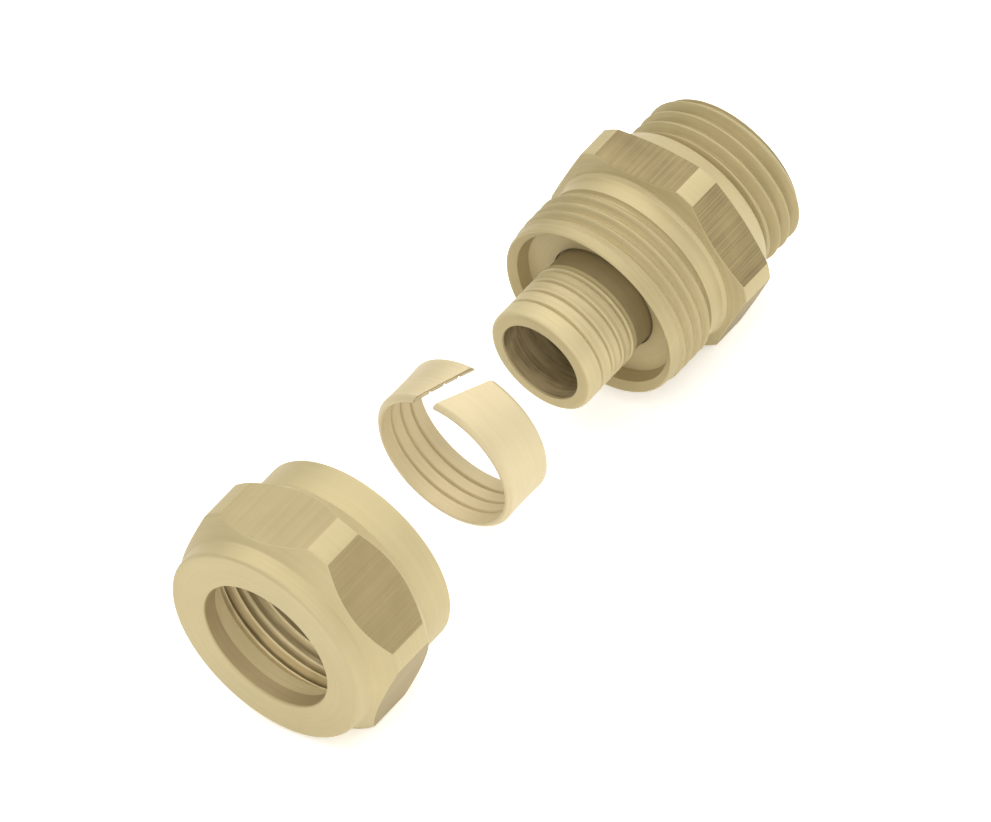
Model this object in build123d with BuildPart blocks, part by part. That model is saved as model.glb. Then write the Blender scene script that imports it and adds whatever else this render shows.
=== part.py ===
from build123d import *
import os

os.makedirs("parts", exist_ok=True)

# A compression coupling for pipe, taken apart along its axis: body, split clamping ring, union nut.
# Millimetres. The axis is Y, the spigot's nose is at the origin, the male end points to +Y.

# Pipe that the coupling grips
pipe_outer_d = 17.0
pipe_bore_d = 14.0

# Clearances
spigot_clearance = 0.05
ring_pipe_clearance = 0.15
entry_clearance = 0.10
thread_clearance = 0.15
nut_seat_gap = 2.05
ring_seat_gap = 0.25

# Body: waterway
bore_r = 5.2
outlet_r = 7.25
outlet_length = 9.8

# Body: spigot with its grip grooves
nose_chamfer = 0.45
groove_first_y = 2.63
groove_pitch = 1.735
groove_count = 4
groove_depth = 0.35
groove_drop = 0.20
groove_land = 1.00

# Body: shell around the spigot
lip_y = 8.57
lip_r = 11.43
mouth_depth = 1.09
mouth_r = 10.52
well_depth = 1.75
well_r = 10.13

# Body: nut thread, relief and rim
nut_thread_d = 24.0
thread_lead = 0.57
thread_end_y = 16.00
relief_r = 11.10
relief_runout = 0.45
rim_y = 19.10
rim_r = 11.77
hexagon_face_y = 19.50

# Body: hexagon and the cone behind it
body_flats = 25.0
body_land_r = 13.79
body_land_y = 20.20
body_land_length = 4.40
body_hex_turn = 5.8
body_back_bevel = 0.35
back_cone_r = 12.45
back_cone_length = 2.75
neck_r = 10.90

# Body: male pipe thread end
male_thread_r = 10.478
male_root_r = 9.80
male_runout = 0.90
male_length = 7.40
end_chamfer_r = 9.75
end_chamfer = 0.70

# Split ring
ring_length = 7.20
ring_wall = 0.85
ring_bevel = 0.50
ring_groove_first = 1.95
ring_groove_pitch = 1.68
ring_groove_count = 3
ring_groove_depth = 0.30
ring_groove_drop = 0.25
slit_width = 2.50
slit_skew = 24.0
slit_turn = 7.0

# Union nut, lengths from its front face
nut_length = 17.0
nut_entry_chamfer = 0.45
nut_entry_length = 2.10
nut_cone_length = 2.80
nut_cone_r = 10.30
nut_socket_lead = 0.40
nut_front_r = 13.16
nut_front_chamfer = 0.50
nut_disc_length = 2.27
nut_disc_r = 13.32
nut_flats = 28.0
nut_land_r = 15.42
nut_land_start = 4.55
nut_land_length = 5.42
nut_collar_start = 12.46
nut_collar_r = 12.96

# Places of the loose pieces, measured along the axis from the spigot's nose
ring_front_gap = 17.9
nut_front_gap = 50.4

# Values worked out from the ones above
spigot_r = pipe_bore_d / 2 - spigot_clearance
ring_inner_r = pipe_outer_d / 2 + ring_pipe_clearance
ring_outer_r = ring_inner_r + ring_wall
nut_entry_r = pipe_outer_d / 2 + entry_clearance
nut_socket_start = nut_entry_length + nut_cone_length
nut_thread_r = nut_thread_d / 2
nut_socket_r = nut_thread_r + thread_clearance
shell_floor_y = lip_y + mouth_depth + well_depth
relief_start_y = thread_end_y + relief_runout
body_land_end_y = body_land_y + body_land_length
back_cone_y = body_land_end_y + body_back_bevel
neck_y = back_cone_y + back_cone_length
body_length = neck_y + male_length
outlet_y = body_length - outlet_length
ring_y = -ring_front_gap
nut_y = -nut_front_gap
cut_margin = 2.0

# How far the nut and the ring travel to close the coupling
nut_cone_slope = (nut_cone_r - nut_entry_r) / nut_cone_length
ring_face_r = ring_outer_r - ring_bevel
nut_travel = hexagon_face_y - nut_seat_gap - nut_length - nut_y
ring_stop = nut_entry_length + (ring_outer_r - nut_entry_r) / nut_cone_slope - ring_bevel
ring_travel = nut_y + nut_travel + ring_stop + ring_seat_gap - ring_y


def grip_points(first, pitch, count, crest_r, root_r, drop, land=0):
    """Grip grooves: each falls steeply to its root and climbs to the next crest, which is sharp or has a land."""
    points = []
    for index in range(count):
        groove = first + index * pitch
        points.append((groove - drop, crest_r))
        points.append((groove, root_r))
        if land:
            points.append((groove + pitch - drop - land, crest_r))
    return points


def hexagon_surround(place, flats, clear_r, turn):
    """Everything outside a hexagon, as a face across the axis: what milling the six flats takes away."""
    with BuildSketch(Plane.XZ.offset(-place)) as surround:
        Circle(clear_r)
        RegularPolygon(flats / 2, 6, major_radius=False, rotation=-turn, mode=Mode.SUBTRACT)
    return surround.sketch


# Coupling body
spigot_grooves = grip_points(groove_first_y, groove_pitch, groove_count, spigot_r, spigot_r - groove_depth,
                             groove_drop, groove_land)
body_outline = [
    (0, bore_r),
    (0, spigot_r),
    *spigot_grooves,
    (shell_floor_y, spigot_r),
    (shell_floor_y, well_r),
    (lip_y + mouth_depth, mouth_r),
    (lip_y, lip_r),
    (lip_y + thread_lead, nut_thread_r),
    (thread_end_y, nut_thread_r),
    (relief_start_y, relief_r),
    (rim_y, rim_r),
    (hexagon_face_y, rim_r),
    (body_land_y, body_land_r),
    (body_land_end_y, body_land_r),
    (back_cone_y, back_cone_r),
    (neck_y, neck_r),
    (neck_y, male_root_r),
    (neck_y + male_runout, male_thread_r),
    (body_length - end_chamfer, male_thread_r),
    (body_length, end_chamfer_r),
    (body_length, outlet_r),
    (outlet_y, outlet_r),
    (outlet_y, bore_r),
]
with BuildPart() as coupling_body:
    with BuildSketch(Plane.YZ) as body_section:
        with BuildLine():
            Polyline(*body_outline, close=True)
        make_face()
        nose_corner = body_section.vertices().group_by(Axis.X)[0].sort_by(Axis.Y)[-1]
        chamfer(nose_corner, nose_chamfer)
    revolve(axis=Axis.Y)
    body_surround = hexagon_surround(rim_y, body_flats, body_land_r + cut_margin, body_hex_turn)
    extrude(body_surround, amount=rim_y - neck_y, mode=Mode.SUBTRACT)
coupling_body.part.label = "coupling_body"
export_step(coupling_body.part, "parts/coupling_body.step")

# Split ring
ring_grooves = grip_points(ring_y + ring_groove_first, ring_groove_pitch, ring_groove_count, ring_inner_r,
                           ring_inner_r + ring_groove_depth, ring_groove_drop)
ring_outline = [
    (ring_y, ring_inner_r),
    (ring_y, ring_face_r),
    (ring_y + ring_bevel, ring_outer_r),
    (ring_y + ring_length - ring_bevel, ring_outer_r),
    (ring_y + ring_length, ring_face_r),
    (ring_y + ring_length, ring_inner_r),
    *reversed(ring_grooves),
]
with BuildPart() as split_ring:
    with BuildSketch(Plane.YZ):
        with BuildLine():
            Polyline(*ring_outline, close=True)
        make_face()
    revolve(axis=Axis.Y)
    with BuildSketch(Plane.XY.rotated((0, slit_turn, 0))):
        with Locations((0, ring_y + ring_length / 2)):
            Rectangle(slit_width, 2 * ring_length, rotation=-slit_skew)
    extrude(amount=ring_outer_r + cut_margin, mode=Mode.SUBTRACT)
split_ring.part.label = "split_ring"
export_step(split_ring.part, "parts/split_ring.step")

# Union nut
nut_outline = [
    (nut_y, nut_entry_r + nut_entry_chamfer),
    (nut_y, nut_front_r),
    (nut_y + nut_disc_length, nut_disc_r),
    (nut_y + nut_land_start, nut_land_r),
    (nut_y + nut_land_start + nut_land_length, nut_land_r),
    (nut_y + nut_collar_start, nut_collar_r),
    (nut_y + nut_length, nut_collar_r),
    (nut_y + nut_length, nut_socket_r + nut_socket_lead),
    (nut_y + nut_length - nut_socket_lead, nut_socket_r),
    (nut_y + nut_socket_start, nut_socket_r),
    (nut_y + nut_socket_start, nut_cone_r),
    (nut_y + nut_entry_length, nut_entry_r),
    (nut_y + nut_entry_chamfer, nut_entry_r),
]
with BuildPart() as union_nut:
    with BuildSketch(Plane.YZ) as nut_section:
        with BuildLine():
            Polyline(*nut_outline, close=True)
        make_face()
        front_corner = nut_section.vertices().group_by(Axis.X)[0].sort_by(Axis.Y)[-1]
        chamfer(front_corner, nut_front_chamfer)
    revolve(axis=Axis.Y)
    nut_surround = hexagon_surround(nut_y + nut_disc_length, nut_flats, nut_land_r + cut_margin, 0)
    extrude(nut_surround, amount=nut_disc_length - nut_collar_start, mode=Mode.SUBTRACT)
union_nut.part.label = "union_nut"
export_step(union_nut.part, "parts/union_nut.step")

print("nut travel", round(nut_travel, 4), "ring travel", round(ring_travel, 4))
print("body length", round(body_length, 4))
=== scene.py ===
import bpy
import math
import numpy as np
from mathutils import Matrix, Vector


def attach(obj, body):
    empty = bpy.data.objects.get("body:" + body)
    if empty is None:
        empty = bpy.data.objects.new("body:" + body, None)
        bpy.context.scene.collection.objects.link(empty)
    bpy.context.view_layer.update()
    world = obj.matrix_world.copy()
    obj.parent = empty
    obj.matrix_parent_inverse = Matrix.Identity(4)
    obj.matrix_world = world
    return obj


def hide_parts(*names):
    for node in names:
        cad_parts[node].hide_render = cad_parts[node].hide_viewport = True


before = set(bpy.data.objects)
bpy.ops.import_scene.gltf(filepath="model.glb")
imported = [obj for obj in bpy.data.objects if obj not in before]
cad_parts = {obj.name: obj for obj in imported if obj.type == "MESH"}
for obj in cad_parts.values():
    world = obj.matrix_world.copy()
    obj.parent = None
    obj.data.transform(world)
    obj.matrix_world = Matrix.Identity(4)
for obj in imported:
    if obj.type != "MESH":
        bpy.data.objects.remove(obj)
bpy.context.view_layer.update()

# All shapes are worked out in millimetres; meshes are written in metres.
# The axis of the part is Y, an angle is measured from +X towards +Z.
# A corner of an outline is (y, r, rounding), and one whose rounding is 0 is kept as it is.
MM = 0.001

# Camera: the picture's size, and how the axis and the nose lie in it
AXIS_TO_VIEW = math.radians(60.6)
AXIS_IN_PICTURE = math.radians(46.0)
TURN_ABOUT_AXIS = math.radians(130.2)
PIXELS_PER_MM = 8.95
NOSE_PIXEL = (539.8, 362.5)
PICTURE = (991, 822)
LENS = 1000.0
SENSOR = 36.0

# Surroundings: floor and light panels, in metres but for the floor's height
FLOOR_Z = -14.0
FLOOR_REACH = 12.0
PANEL_AWAY = 0.9
PANEL_SIZE = 0.9

# Coupling body: spigot, from its nose
BORE_R = 5.2
SPIGOT_R, NOSE_IN, NOSE_OUT = 6.95, 0.16, 0.60
GROOVES, GROOVE_FIRST, GROOVE_PITCH = 4, 2.52, 1.76
GROOVE_DEPTH, GROOVE_DROP, GROOVE_RISE = 0.43, 0.18, 0.28
CREST_DIP, CREST_DIP_AT = 0.07, 0.85
CREST_END_Y, SHOULDER_Y, SHOULDER_R = 8.28, 8.48, 6.84
SHOULDER_END_Y, BASE_Y, BASE_R = 8.94, 9.02, 6.70

# Coupling body: the well round the spigot and the shell's mouth
FLOOR_Y, FLOOR_STEP_Y, WELL_R, GAP_DEPTH, GAP_WIDTH = 11.75, 11.26, 10.13, 0.4, 0.22
MOUTH_Y, MOUTH_R, LIP_Y, LIP_R = 9.66, 10.52, 8.96, 11.52

# Coupling body: nut thread, whose first turn grows out of a plain lead
NUT_THREAD_R, NUT_THREAD_ROOT, NUT_PITCH, NUT_THREAD_CREST_Y = 12.0, 11.25, 1.5, 10.87
LEAD_Y, LEAD_R, LEAD_END_Y, LEAD_END_R = 9.3, 11.66, 10.35, 11.72
THREAD_Y, THREAD_END, THREAD_DROP = 10.9, 15.95, 0.2

# Coupling body: relief, rim, hexagon and the cones beside it
RELIEF_Y, RELIEF_R, BAND_Y, BAND_R, FLARE_Y, FLARE_R = 16.52, 10.95, 16.68, 11.50, 18.85, 11.42
RIM_Y, RIM_R = 19.2, 11.77
HEX_FACE_Y, LAND_Y, LAND_END_Y, LAND_R = 19.42, 20.2, 24.6, 13.79
BACK_Y, BACK_R, NECK_Y, NECK_R = 24.95, 12.45, 27.7, 10.9
BODY_FLAT, BODY_TURN = 12.5, 5.8

# Coupling body: male thread and outlet
MALE_R, MALE_START_R, MALE_ROOT, MALE_PITCH, MALE_CREST_Y = 10.478, 9.5, 9.42, 1.814, 28.68
MALE_RISE_Y, MALE_RISE_R = (28.42, 28.85, 30.0), (9.5, 10.1, 10.478)
BODY_END, END_R, END_CHAMFER, OUTLET_R, OUTLET_Y = 35.1, 9.75, 0.7, 7.25, 25.3

# Split ring
RING_Y, RING_LENGTH, RING_IN, RING_OUT, RING_BEVEL = -17.9, 7.2, 8.65, 9.5, 0.5
RING_GROOVES, RING_GROOVE_FIRST, RING_GROOVE_PITCH = 3, 1.95, 1.68
RING_GROOVE_DEPTH, RING_GROOVE_DROP, RING_GROOVE_RISE, RING_CREST_DIP = 0.42, 0.14, 0.30, 0.02
SLIT_WIDTH, SLIT_SKEW, SLIT_TURN, SLIT_SOFT = 2.5, math.radians(24.0), math.radians(7.0), 0.10

# Union nut, lengths from its front face
NUT_Y, NUT_LENGTH = -50.4, 17.0
NUT_ENTRY_R, NUT_ENTRY_ROW, NUT_CONE_START, NUT_CONE_R, NUT_SOCKET = 8.6, 0.6, 2.1, 10.3, 4.9
NUT_FRONT_R, NUT_DISC, NUT_DISC_R = 13.16, 2.27, 13.32
NUT_FLAT, NUT_LAND_R, NUT_LAND, NUT_LAND_END = 14.0, 15.42, 4.55, 9.97
COLLAR_Y, COLLAR_R = 12.46, 12.96

# Union nut: inner thread with its open mouth and its undercut; its turns are low where the closed nut lies
# round the body's lead, and higher again where they pass between the body's turns
NUT_ROOT_R, NUT_CREST_R, NUT_CREST_T = 12.26, 11.15, 5.92
NUT_LEAD_R, NUT_LEAD_T, NUT_MESH_R, NUT_MESH_T, NUT_CHANGE = 11.82, 8.35, 11.45, 10.75, 0.6
NUT_MOUTH, NUT_MOUTH_SLOPE, UNDERCUT_R, UNDERCUT_T, UNDERCUT_RISE = 0.2, 0.9, 12.24, 5.25, 0.3

# Side of the part on which the crest of a thread lies at its given place, in degrees
CREST_SIDE = 49.8

# Meshes: rows along a thread and columns round the ring; how far a row lies beside a rounding, and the shares
# of a flank that a rounding and that row may take; the first steps on a hexagon's flat, in degrees
NUT_THREAD_ROWS, MALE_ROWS, SOCKET_ROWS, RING_COLUMNS = 210, 170, 260, 300
SUPPORT, ROUNDING_SHARE, SUPPORT_SHARE = 0.05, 0.42, 0.48
EDGE_STEP, FLAT_STEP = 0.25, 0.8

# How softly the surfaces of a thread meet, and how near to a surface a face lies that takes its finish
SOFT, NEAR = 0.03, 0.02

# Brass: the mottling, the share of the marks in the mix, their depth in metres, and how far the roughness
# swings with them
CLOUD_SCALE, CLOUD_DETAIL = 160.0, 3.0
MARK_SHARE, MARK_DEPTH, ROUGHNESS_SWING = 0.6, 0.00002, 0.05


def around(turn, flat, land, flat_steps, land_steps):
    """Angles of the columns round a hexagon, and for each column whether it starts a flat."""
    half = math.degrees(math.acos(flat / land))
    angles, on_flat = [], []
    for side in range(6):
        middle = 90.0 - turn + 60.0 * side
        inner_steps = np.linspace(-half + FLAT_STEP, half - FLAT_STEP, flat_steps)
        flat_columns = np.concatenate([[-half + EDGE_STEP], inner_steps, [half - EDGE_STEP]])
        land_columns = np.linspace(half + EDGE_STEP, 60.0 - half - EDGE_STEP, land_steps)
        angles += list(middle + flat_columns) + list(middle + land_columns)
        on_flat += [True] * (len(flat_columns) - 1) + [False] * (len(land_columns) + 1)
    return np.radians(np.array(angles)), np.array(on_flat)


def hexagon_r(angles, turn, flat, land, soft):
    """Radius of a hexagon with its corners turned down to the land, its edges slightly softened."""
    away = (np.degrees(angles) - (90.0 - turn) + 30.0) % 60.0 - 30.0
    return soft_least(flat / np.cos(np.radians(away)), land, soft)


def cone_y(radius, start, end):
    """Place along the axis at which a cone between two (y, r) points has a radius."""
    (start_y, start_r), (end_y, end_r) = start, end
    return start_y + (radius - start_r) / (end_r - start_r) * (end_y - start_y)


def rounded(outline, count, steps=3):
    """Rounds the corners of an outline column by column and adds the rows that keep its flanks straight.

    The y and r of a corner are each a number or one value per column."""
    line = np.zeros((count, len(outline), 2))
    for index, (y, r, _) in enumerate(outline):
        line[:, index, 0] = y
        line[:, index, 1] = r
    rows = []
    for index, (_, _, rounding) in enumerate(outline):
        here = line[:, index]
        if rounding == 0:
            rows.append(here)
            continue
        into = line[:, index - 1] - here
        out = line[:, (index + 1) % len(outline)] - here
        into_length = np.linalg.norm(into, axis=1)
        out_length = np.linalg.norm(out, axis=1)
        into /= into_length[:, None]
        out /= out_length[:, None]
        shorter = np.minimum(into_length, out_length)
        turn = np.pi - np.arccos(np.clip((into * out).sum(1), -1, 1))
        reach = np.minimum(rounding * np.tan(turn / 2), ROUNDING_SHARE * shorter)
        edge = np.minimum(reach + SUPPORT, SUPPORT_SHARE * shorter)
        start, end = here + into * reach[:, None], here + out * reach[:, None]
        rows.append(here + into * edge[:, None])
        for step in range(steps + 1):
            s = step / steps
            rows.append((1 - s) ** 2 * start + 2 * s * (1 - s) * here + s * s * end)
        rows.append(here + out * edge[:, None])
    return np.stack(rows, 1)


def smooth_step(value, low, high):
    part = np.clip((value - low) / (high - low), 0, 1)
    return part * part * (3 - 2 * part)


def soft_least(a, b, soft):
    mean, gap = (a + b) / 2, (a - b) / 2
    return mean - np.sqrt(gap * gap + soft * soft)


def soft_most(a, b, soft):
    mean, gap = (a + b) / 2, (a - b) / 2
    return mean + np.sqrt(gap * gap + soft * soft)


def worn_ridge(turns, fullness, root):
    """Height of a rounded thread from 0 to 1; turns is the distance from a crest in pitches."""
    away = 2 * np.abs((turns + 0.5) % 1.0 - 0.5)
    return soft_most(1 - (away / (1 - root)) ** fullness, np.zeros_like(away), 0.04)


def sharp_ridge(turns, crest, root):
    """The same for straight flanks; crest and root are the shares of the pitch that are level there."""
    away = 2 * np.abs((turns + 0.5) % 1.0 - 0.5)
    flank = (1 - root - away) / (1 - root - crest)
    return soft_least(soft_most(flank, np.zeros_like(away), 0.05), np.ones_like(away), 0.05)


def helix(angles, rows, crest_y, pitch, crest_side):
    """Distance in pitches from a right-hand thread's crest, for every column and row."""
    turned = (crest_side - np.degrees(angles))[:, None] / 360.0
    return (rows[None, :] - crest_y) / pitch - turned


def for_each_column(values, like):
    return np.broadcast_to(values[None, :], like.shape)


def grid(rows, radius):
    return np.stack([for_each_column(rows, radius), radius], 2)


def write_mesh(name, points, faces, slots, materials):
    mesh = bpy.data.meshes.new(name)
    mesh.from_pydata((points * MM).tolist(), [], faces)
    for material in materials:
        mesh.materials.append(material)
    mesh.polygons.foreach_set("material_index", np.array(slots, dtype=np.int32))
    mesh.polygons.foreach_set("use_smooth", np.ones(len(faces), dtype=bool))
    mesh.validate()
    mesh.update()
    piece = bpy.data.objects.new(name, mesh)
    bpy.context.scene.collection.objects.link(piece)
    return piece


def strip(column, beside, rows):
    """Faces between two columns of points, closed into a loop along the rows."""
    for row in range(rows):
        below = (row + 1) % rows
        yield (column * rows + row, column * rows + below, beside * rows + below, beside * rows + row)


def turned_piece(name, angles, outline, finish_of, materials):
    """A closed ring of columns; outline is columns x rows x (y, r), running once round the section."""
    count, rows = outline.shape[:2]
    y, r = outline[:, :, 0], outline[:, :, 1]
    x = r * np.cos(angles)[:, None]
    z = r * np.sin(angles)[:, None]
    points = np.stack([x, y, z], 2).reshape(-1, 3)
    slot = {material.name: index for index, material in enumerate(materials)}
    faces, slots = [], []
    for column in range(count):
        faces += strip(column, (column + 1) % count, rows)
        slots += [slot[finish_of(column, row).name] for row in range(rows)]
    return write_mesh(name, points, faces, slots, materials)


# Materials
def new_material(name):
    material = bpy.data.materials.new(name)
    material.use_nodes = True
    tree = material.node_tree
    return material, tree.nodes, tree.links, tree.nodes["Principled BSDF"]


def feed(links, socket, value):
    if isinstance(value, (int, float)):
        socket.default_value = value
    else:
        links.new(value, socket)


def math_node(nodes, links, operation, first, second=None):
    node = nodes.new("ShaderNodeMath")
    node.operation = operation
    feed(links, node.inputs[0], first)
    if second is not None:
        feed(links, node.inputs[1], second)
    return node.outputs[0]


def polar(nodes, links):
    """Object coordinates, and with them the distance from the axis, the place along it and the angle."""
    where = nodes.new("ShaderNodeTexCoord").outputs["Object"]
    split = nodes.new("ShaderNodeSeparateXYZ")
    links.new(where, split.inputs[0])
    x, y, z = split.outputs
    squares = math_node(nodes, links, "ADD", math_node(nodes, links, "MULTIPLY", x, x),
                        math_node(nodes, links, "MULTIPLY", z, z))
    radius = math_node(nodes, links, "SQRT", squares)
    angle = math_node(nodes, links, "ARCTAN2", z, x)
    return where, radius, y, angle


def combined(nodes, links, x, y, z):
    node = nodes.new("ShaderNodeCombineXYZ")
    for socket, value in zip(node.inputs, (x, y, z)):
        feed(links, socket, value)
    return node.outputs[0]


def noise(nodes, links, where, scale, detail, rough=0.55):
    node = nodes.new("ShaderNodeTexNoise")
    node.inputs["Scale"].default_value = scale
    node.inputs["Detail"].default_value = detail
    node.inputs["Roughness"].default_value = rough
    links.new(where, node.inputs["Vector"])
    return node.outputs["Fac"]


def ramp(nodes, links, value, stops):
    node = nodes.new("ShaderNodeValToRGB")
    for element, (place, colour) in zip(node.color_ramp.elements, stops):
        element.position = place
        element.color = (*colour, 1.0)
    links.new(value, node.inputs[0])
    return node.outputs[0]


def map_range(nodes, links, value, from_min, from_max, to_min, to_max):
    node = nodes.new("ShaderNodeMapRange")
    node.inputs["From Min"].default_value = from_min
    node.inputs["From Max"].default_value = from_max
    node.inputs["To Min"].default_value = to_min
    node.inputs["To Max"].default_value = to_max
    links.new(value, node.inputs["Value"])
    return node.outputs["Result"]


def linear(colour):
    return tuple(c / 12.92 if c <= 0.04045 else ((c + 0.055) / 1.055) ** 2.4 for c in colour)


def turning_marks(nodes, links, radius, along, angle):
    """Fine rings round the axis, or circles on a face across it."""
    lines = combined(nodes, links, math_node(nodes, links, "MULTIPLY", along, 1 / MM),
                     math_node(nodes, links, "MULTIPLY", radius, 1 / MM),
                     math_node(nodes, links, "MULTIPLY", angle, 0.35))
    return noise(nodes, links, lines, scale=2.2, detail=4.0, rough=0.6)


def milling_marks(nodes, links, along, angle):
    """Streaks along the axis."""
    lines = combined(nodes, links, math_node(nodes, links, "MULTIPLY", angle, 24.0),
                     math_node(nodes, links, "MULTIPLY", along, 12.0), 0.0)
    return noise(nodes, links, lines, scale=2.6, detail=5.0, rough=0.65)


def brass(name, dark, light, spread=0.18, rough=0.57, metal=0.35, marks=0.5, is_milled=False, painted_shade_and_highlight=None):
    """Machined brass with fine marks and faint mottling between a dark and a light colour.

    spread is how much of the noise's range lies between the two colours, each side of its middle.
    A thread's root and crest radius may be given last: painted shade darkens the root, and a painted
    highlight lightens the crest."""
    material, nodes, links, shader = new_material(name)
    where, radius, along, angle = polar(nodes, links)
    cloud = noise(nodes, links, where, CLOUD_SCALE, CLOUD_DETAIL)
    if is_milled:
        fine = milling_marks(nodes, links, along, angle)
    else:
        fine = turning_marks(nodes, links, radius, along, angle)
    mixed = math_node(nodes, links, "ADD", math_node(nodes, links, "MULTIPLY", fine, MARK_SHARE),
                      math_node(nodes, links, "MULTIPLY", cloud, 1 - MARK_SHARE))
    # Painted shade in a thread's root and a painted highlight on its crest, by radius.
    if painted_shade_and_highlight:
        root_r, crest_r = painted_shade_and_highlight
        painted_shade_and_highlight_offset = map_range(nodes, links, radius, root_r * MM, crest_r * MM, -spread, spread)
        mixed = math_node(nodes, links, "ADD", mixed, painted_shade_and_highlight_offset)
    colour = ramp(nodes, links, mixed, [(0.5 - spread, linear(dark)), (0.5 + spread, linear(light))])
    links.new(colour, shader.inputs["Base Color"])
    shader.inputs["Metallic"].default_value = metal
    roughness = map_range(nodes, links, mixed, 0.3, 0.7, rough - ROUGHNESS_SWING, rough + ROUGHNESS_SWING)
    links.new(roughness, shader.inputs["Roughness"])
    bump = nodes.new("ShaderNodeBump")
    bump.inputs["Strength"].default_value = marks
    bump.inputs["Distance"].default_value = MARK_DEPTH
    links.new(fine, bump.inputs["Height"])
    links.new(bump.outputs["Normal"], shader.inputs["Normal"])
    return material


turned = brass("turned_brass", (0.70, 0.64, 0.475), (0.74, 0.68, 0.51))
milled = brass("milled_brass", (0.455, 0.395, 0.255), (0.63, 0.56, 0.388), spread=0.14, marks=0.8,
               is_milled=True)
# The nut's flats come in a lighter and a darker copy of one milled brass: painted light on four flats,
# painted shade on the two that face right.
painted_light_flat = brass("nut_flat_painted_light_brass", (0.625, 0.565, 0.408), (0.69, 0.627, 0.458), marks=0.6, is_milled=True)
painted_shade_flat = brass("nut_flat_painted_shade_brass", (0.55, 0.485, 0.33), (0.645, 0.575, 0.41), marks=0.6, is_milled=True)
threaded = brass("thread_brass", (0.645, 0.585, 0.425), (0.71, 0.65, 0.48))
# Darker brass for the nut's entry: painted shade inside the opening.
socket = brass("entry_brass_painted_shade", (0.60, 0.53, 0.38), (0.66, 0.59, 0.435))
# The nut's thread: painted shade in the roots and a painted highlight on the crests.
ridged_painted_shade_and_highlight = brass("ridged_brass_painted_shade_and_highlight", (0.55, 0.49, 0.345), (0.88, 0.82, 0.66),
               painted_shade_and_highlight=(NUT_ROOT_R - 0.05, NUT_CREST_R + 0.5))
# Lighter brass for the spigot's ridges and the nut's inner cone: painted light.
painted_light_brass = brass("spigot_and_cone_brass_painted_light", (0.72, 0.66, 0.495), (0.78, 0.72, 0.55))
pale = brass("ring_brass", (0.77, 0.71, 0.56), (0.81, 0.75, 0.60), marks=0.4)
# Darker brass for the bore: painted shade inside it.
bore_painted_shade = brass("bore_brass_painted_shade", (0.50, 0.435, 0.295), (0.70, 0.63, 0.48), spread=0.09, rough=0.55, metal=0.4,
              marks=0.8)
# Darker brass for the spigot's base and the gap at the well's floor: painted shade in the well.
shaded = brass("shaded_brass", (0.55, 0.49, 0.355), (0.60, 0.54, 0.395), rough=0.60, metal=0.4, marks=0.3)


# Coupling body
def spigot_and_well(count):
    """From inside the bore over the nose, the grip grooves and the well's floor to the shell's lip."""
    outline = [(1.0, BORE_R, 0), (0, BORE_R, NOSE_IN), (0, SPIGOT_R, NOSE_OUT)]
    for index in range(GROOVES):
        groove = GROOVE_FIRST + index * GROOVE_PITCH
        outline += [(groove - GROOVE_DROP, SPIGOT_R, 0.14), (groove, SPIGOT_R - GROOVE_DEPTH, 0.05),
                    (groove + GROOVE_RISE, SPIGOT_R, 0.16)]
        if index < GROOVES - 1:
            outline.append((groove + CREST_DIP_AT, SPIGOT_R - CREST_DIP, 0.5))
    outline += [
        (CREST_END_Y, SPIGOT_R, 0.12),
        (SHOULDER_Y, SHOULDER_R, 0.1),
        (SHOULDER_END_Y, SHOULDER_R, 0.05),
        (BASE_Y, BASE_R, 0.04),
        (FLOOR_Y + GAP_DEPTH, BASE_R, 0.05),
        (FLOOR_Y + GAP_DEPTH, BASE_R + GAP_WIDTH, 0.05),
        (FLOOR_Y, BASE_R + GAP_WIDTH, 0.04),
        (FLOOR_STEP_Y, WELL_R, 0.12),
        (MOUTH_Y, MOUTH_R, 0.10),
        (LIP_Y, LIP_R, 0.22),
        (LEAD_Y, LEAD_R, 0),
    ]
    return rounded(outline, count)[:, :-1]


def nut_thread(angles):
    rows = np.linspace(LIP_Y + 0.25, RELIEF_Y - 0.05, NUT_THREAD_ROWS)
    lead = np.interp(rows, [LIP_Y, LEAD_Y, LEAD_END_Y, THREAD_Y], [LIP_R, LEAD_R, LEAD_END_R, NUT_THREAD_R])
    run_out = NUT_THREAD_R - (rows - THREAD_END) / THREAD_DROP * (NUT_THREAD_R - RELIEF_R)
    envelope = soft_least(lead, np.maximum(RELIEF_R, run_out), SOFT)
    turns = helix(angles, rows, NUT_THREAD_CREST_Y, NUT_PITCH, CREST_SIDE)
    height = worn_ridge(turns, fullness=1.3, root=0.04)
    depth = (NUT_THREAD_R - NUT_THREAD_ROOT) * smooth_step(rows, LEAD_END_Y, THREAD_Y)
    thread = NUT_THREAD_R - (1 - height) * depth[None, :]
    return grid(rows, soft_least(thread, for_each_column(envelope, thread), SOFT))


def relief_to_neck(count, hexagon, front, back):
    outline = [
        (RELIEF_Y, RELIEF_R, 0),
        (BAND_Y, BAND_R, 0.08),
        (FLARE_Y, FLARE_R, 0.3),
        (RIM_Y, RIM_R, 0.12),
        (HEX_FACE_Y, RIM_R, 0.06),
        (front, hexagon, 0.12),
        (back, hexagon, 0.12),
        (BACK_Y, BACK_R, 0.12),
        (NECK_Y, NECK_R, 0.5),
        (NECK_Y + 0.05, MALE_START_R, 0),
    ]
    return rounded(outline, count)


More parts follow.
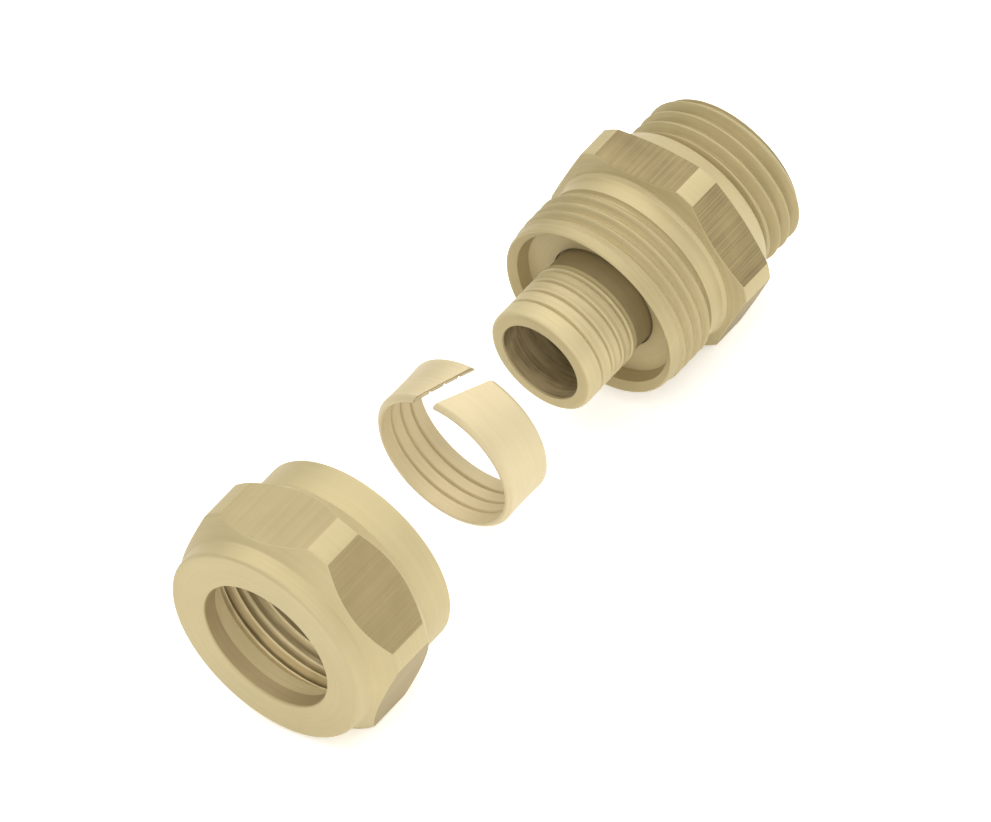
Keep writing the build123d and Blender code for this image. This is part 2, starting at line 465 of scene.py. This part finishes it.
def male_thread(angles):
    rows = np.linspace(NECK_Y + 0.1, BODY_END - 0.06, MALE_ROWS)
    lead = np.interp(rows, MALE_RISE_Y, MALE_RISE_R) + np.clip(rows - MALE_RISE_Y[-1], 0, 1)
    chamfer = END_R + (BODY_END - rows) / END_CHAMFER * (MALE_R - END_R)
    envelope = soft_least(lead, chamfer, SOFT)
    turns = helix(angles, rows, MALE_CREST_Y, MALE_PITCH, CREST_SIDE)
    height = sharp_ridge(turns, crest=0.10, root=0.03)
    thread = MALE_ROOT + (MALE_R - MALE_ROOT) * height
    return grid(rows, soft_least(thread, for_each_column(envelope, thread), SOFT))


def end_and_outlet(count):
    outline = [
        (BODY_END - 0.02, END_R, 0),
        (BODY_END, END_R - 0.15, 0.05),
        (BODY_END, OUTLET_R, 0.2),
        (OUTLET_Y, OUTLET_R, 0.1),
        (OUTLET_Y, BORE_R, 0.1),
        (OUTLET_Y - 1.0, BORE_R, 0),
    ]
    return rounded(outline, count)


def coupling_body():
    angles, on_flat = around(BODY_TURN, BODY_FLAT, LAND_R, flat_steps=20, land_steps=4)
    count = len(angles)
    hexagon = hexagon_r(angles, BODY_TURN, BODY_FLAT, LAND_R, soft=0.02)
    front = cone_y(hexagon, (HEX_FACE_Y, RIM_R), (LAND_Y, LAND_R))
    back = cone_y(hexagon, (BACK_Y, BACK_R), (LAND_END_Y, LAND_R))
    parts = [spigot_and_well(count), nut_thread(angles), relief_to_neck(count, hexagon, front, back),
             male_thread(angles), end_and_outlet(count)]
    whole = np.concatenate(parts, 1)

    def finish_of(column, row):
        y, r = whole[column, row]
        if on_flat[column] and r > RIM_R + 0.3 and front[column] - NEAR < y < back[column] - NEAR:
            return milled
        behind_nose_edge = 0.1 <= y <= 0.9
        # The bore takes darker brass: painted shade.
        if r < BORE_R + NEAR and not behind_nose_edge:
            return bore_painted_shade
        # The spigot's base and the gap at the floor take the darker shaded brass: painted shade.
        if r < BASE_R + GAP_WIDTH + NEAR and BASE_Y < y < FLOOR_Y + GAP_DEPTH + NEAR:
            return shaded
        # The spigot's ridges take lighter brass: painted light.
        if y < CREST_END_Y and SPIGOT_R - GROOVE_DEPTH - 0.1 < r < SPIGOT_R + 0.1:
            return painted_light_brass
        on_nut_thread = r > LIP_R and y < RELIEF_Y
        on_male_thread = r > MALE_ROOT - 0.1 and y > NECK_Y
        on_front_cone = r > RIM_R - 0.05 and y < front[column] - 0.1
        return threaded if on_nut_thread or on_male_thread or on_front_cone else turned

    finishes = [turned, milled, bore_painted_shade, shaded, threaded, painted_light_brass]
    return turned_piece("coupling_body_visual", angles, whole, finish_of, finishes)


# Union nut
def nut_outside(count, hexagon, front, back):
    """From inside the entry over the front face, the hexagon and the collar to the socket's mouth."""
    outline = [
        (NUT_ENTRY_ROW, NUT_ENTRY_R, 0),
        (0, NUT_ENTRY_R, 0.4),
        (0, NUT_FRONT_R, 0.55),
        (NUT_DISC, NUT_DISC_R, 0.25),
        (front, hexagon, 0.35),
        (back, hexagon, 0.35),
        (COLLAR_Y, COLLAR_R, 0.35),
        (NUT_LENGTH, COLLAR_R, 0.3),
        (NUT_LENGTH, NUT_ROOT_R + NUT_MOUTH, 0.1),
        (NUT_LENGTH - NUT_MOUTH, NUT_ROOT_R + NUT_MOUTH / 2, 0),
    ]
    return rounded(outline, count, steps=4)


def socket_thread(angles):
    rows = np.linspace(NUT_LENGTH - 0.24, NUT_SOCKET + 0.4, SOCKET_ROWS)
    lead = NUT_ROOT_R + NUT_MOUTH - (NUT_LENGTH - rows) * NUT_MOUTH_SLOPE
    run_out = np.clip((rows - UNDERCUT_T) / UNDERCUT_RISE, 0, 1)
    undercut = UNDERCUT_R - run_out * (NUT_ROOT_R - NUT_CREST_R)
    crest = NUT_CREST_R + (NUT_LEAD_R - NUT_CREST_R) * smooth_step(rows, NUT_LEAD_T - NUT_CHANGE, NUT_LEAD_T)
    crest -= (NUT_LEAD_R - NUT_MESH_R) * smooth_step(rows, NUT_MESH_T - NUT_CHANGE, NUT_MESH_T)
    turns = helix(angles, rows, NUT_CREST_T, NUT_PITCH, CREST_SIDE + 180.0)
    height = sharp_ridge(turns, crest=0.13, root=0.13)
    thread = NUT_ROOT_R - (NUT_ROOT_R - crest[None, :]) * height
    bound = np.maximum(lead, undercut)
    thread = soft_most(thread, for_each_column(bound, thread), SOFT)
    return grid(rows, np.minimum(thread, NUT_ROOT_R + NUT_MOUTH / 2))


def step_and_cone(count):
    outline = [
        (NUT_SOCKET, NUT_ROOT_R - 0.05, 0),
        (NUT_SOCKET, NUT_CONE_R, 0.12),
        (NUT_CONE_START, NUT_ENTRY_R, 0.15),
        (NUT_ENTRY_ROW, NUT_ENTRY_R, 0),
    ]
    return rounded(outline, count)[:, :-1]


def union_nut():
    angles, on_flat = around(0.0, NUT_FLAT, NUT_LAND_R, flat_steps=24, land_steps=5)
    count = len(angles)
    hexagon = hexagon_r(angles, 0.0, NUT_FLAT, NUT_LAND_R, soft=0.05)
    front = cone_y(hexagon, (NUT_DISC, NUT_DISC_R), (NUT_LAND, NUT_LAND_R))
    back = cone_y(hexagon, (COLLAR_Y, COLLAR_R), (NUT_LAND_END, NUT_LAND_R))
    parts = [nut_outside(count, hexagon, front, back), socket_thread(angles), step_and_cone(count)]
    whole = np.concatenate(parts, 1)
    placed = whole + (NUT_Y, 0.0)

    def finish_of(column, row):
        t, r = whole[column, row]
        if r < NUT_ROOT_R + 0.15 and 0.5 < t < NUT_LENGTH - 0.1:
            # Thread ridges: painted shade in the roots and a painted highlight on the crests.
            if t > NUT_SOCKET:
                return ridged_painted_shade_and_highlight
            # The entry takes darker brass, which is painted shade; the inner cone takes lighter brass, which
            # is painted light.
            return socket if t < NUT_CONE_START else painted_light_brass
        if not on_flat[column] or r < NUT_DISC_R + 0.2:
            return turned
        if not front[column] - NEAR < t < back[column] - NEAR:
            return turned
        # The two flats that face right take the darker copy, which is painted shade; the other four take the
        # lighter copy, which is painted light.
        side = column * 6 // count
        return painted_shade_flat if side in (4, 5) else painted_light_flat

    finishes = [turned, painted_light_flat, painted_shade_flat, socket, ridged_painted_shade_and_highlight, painted_light_brass]
    return turned_piece("union_nut_visual", angles, placed, finish_of, finishes)


# Split ring
def ring_section():
    outline = [
        (0, RING_IN, 0.12),
        (0, RING_OUT - RING_BEVEL, 0.2),
        (RING_BEVEL, RING_OUT, 0.35),
        (RING_LENGTH - RING_BEVEL, RING_OUT, 0.35),
        (RING_LENGTH, RING_OUT - RING_BEVEL, 0.2),
        (RING_LENGTH, RING_IN, 0.12),
    ]
    for index in reversed(range(RING_GROOVES)):
        groove = RING_GROOVE_FIRST + index * RING_GROOVE_PITCH
        outline += [(groove + RING_GROOVE_RISE, RING_IN + RING_CREST_DIP, 0.18),
                    (groove, RING_IN + RING_GROOVE_DEPTH, 0.04),
                    (groove - RING_GROOVE_DROP, RING_IN, 0.10)]
    return rounded(outline, 1)[0]


def split_ring():
    """The section swept from one side of the slanting slit round to the other, with softened end faces."""
    section = ring_section()
    rows = len(section)
    middle_r = (RING_IN + RING_OUT) / 2
    shrunk = section.copy()
    shrunk[:, 0] = np.clip(shrunk[:, 0], SLIT_SOFT, RING_LENGTH - SLIT_SOFT)
    shrunk[:, 1] = middle_r + (shrunk[:, 1] - middle_r) * (1 - 2 * SLIT_SOFT / (RING_OUT - RING_IN))
    half = SLIT_WIDTH / 2 / math.cos(SLIT_SKEW)
    inner_percents = np.linspace(0.4, 99.6, RING_COLUMNS - 6)
    places = np.concatenate([[0, 0, 0.15], inner_percents, [99.85, 100, 100]]) / 100.0
    points = []
    for index, place in enumerate(places):
        is_end = index in (0, len(places) - 1)
        y, r = (shrunk if is_end else section).T
        centre = (y - RING_LENGTH / 2) * math.tan(SLIT_SKEW)
        away = half + (0.0 if is_end else SLIT_SOFT)
        left = np.arccos(np.clip((centre - away) / r, -1, 1))
        right = np.arccos(np.clip((centre + away) / r, -1, 1)) + 2 * math.pi
        angle = left + (right - left) * place - SLIT_TURN
        points.append(np.stack([r * np.cos(angle), y + RING_Y, r * np.sin(angle)], 1))
    last = len(points) - 1
    faces = []
    for column in range(last):
        faces += strip(column, column + 1, rows)
    faces.append(tuple(range(rows)))
    faces.append(tuple(reversed(range(last * rows, last * rows + rows))))
    return write_mesh("split_ring_visual", np.concatenate(points), faces, [0] * len(faces), [pale])


made = {"coupling_body": (coupling_body(), "body", "turned_brass"),
        "union_nut": (union_nut(), "nut", "turned_brass"),
        "split_ring": (split_ring(), "ring", "ring_brass")}
for node, (piece, body, slot_name) in made.items():
    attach(piece, body)
    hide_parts(node)

# Camera
sin_phi, cos_phi = math.sin(AXIS_TO_VIEW), math.cos(AXIS_TO_VIEW)
sin_psi, cos_psi = math.sin(AXIS_IN_PICTURE), math.cos(AXIS_IN_PICTURE)
axis = Vector((0, 1, 0))
side = Vector((math.sin(TURN_ABOUT_AXIS), 0, math.cos(TURN_ABOUT_AXIS)))
facing = Vector((-math.cos(TURN_ABOUT_AXIS), 0, math.sin(TURN_ABOUT_AXIS)))
right = axis * (cos_psi * sin_phi) + side * sin_psi + facing * (cos_phi * cos_psi)
up = axis * (sin_psi * sin_phi) - side * cos_psi + facing * (cos_phi * sin_psi)
toward = right.cross(up)
distance = LENS / SENSOR * PICTURE[0] / PIXELS_PER_MM
middle = (right * ((PICTURE[0] / 2 - NOSE_PIXEL[0]) / PIXELS_PER_MM)
          - up * ((PICTURE[1] / 2 - NOSE_PIXEL[1]) / PIXELS_PER_MM))
camera_data = bpy.data.cameras.new("camera")
camera_data.lens = LENS
camera_data.sensor_width = SENSOR
camera_data.clip_start = 0.1
camera_data.clip_end = 100.0
camera = bpy.data.objects.new("camera", camera_data)
bpy.context.scene.collection.objects.link(camera)
turn = Matrix((right, up, toward)).transposed()
camera.matrix_world = Matrix.Translation((middle + toward * distance) * MM) @ turn.to_4x4()
bpy.context.scene.camera = camera

# Floor
floor_mesh = bpy.data.meshes.new("floor")
floor_corners = [(x * FLOOR_REACH, y * FLOOR_REACH, 0) for x, y in ((-1, -1), (1, -1), (1, 1), (-1, 1))]
floor_mesh.from_pydata(floor_corners, [], [(0, 1, 2, 3)])
floor = bpy.data.objects.new("floor", floor_mesh)
floor.location = (0, 0, FLOOR_Z * MM)
bpy.context.scene.collection.objects.link(floor)
floor_material, _, _, floor_shader = new_material("floor")
floor_shader.inputs["Base Color"].default_value = (0.93, 0.93, 0.92, 1)
floor_shader.inputs["Roughness"].default_value = 0.9
floor_shader.inputs["Specular IOR Level"].default_value = 0.0
floor_shader.inputs["Emission Color"].default_value = (1.0, 1.0, 0.99, 1)
floor_shader.inputs["Emission Strength"].default_value = 0.32
floor_mesh.materials.append(floor_material)

# Light: a dim surround, and four soft panels placed by the picture's own directions
world = bpy.data.worlds.new("surround")
world.use_nodes = True
world.node_tree.nodes["Background"].inputs["Color"].default_value = (1.0, 1.0, 1.0, 1)
world.node_tree.nodes["Background"].inputs["Strength"].default_value = 0.36
bpy.context.scene.world = world


def panel(name, direction, power):
    data = bpy.data.lights.new(name, "AREA")
    data.shape = "DISK"
    data.size = PANEL_SIZE
    data.energy = power
    light = bpy.data.objects.new(name, data)
    place = direction.normalized() * PANEL_AWAY
    light.matrix_world = Matrix.Translation(place) @ place.to_track_quat("Z", "Y").to_matrix().to_4x4()
    bpy.context.scene.collection.objects.link(light)


panel("front", toward, power=4.1)
panel("top", up + toward * 0.15, power=2.8)
panel("top_right", up * 0.8 + right * 0.6 + toward * 0.3, power=2.6)
panel("top_left", up * 0.7 - right * 0.7 + toward * 0.4, power=2.6)

bpy.context.scene.view_settings.view_transform = "Standard"
bpy.context.scene.view_settings.look = "None"
bpy.context.scene.view_settings.exposure = 0.23
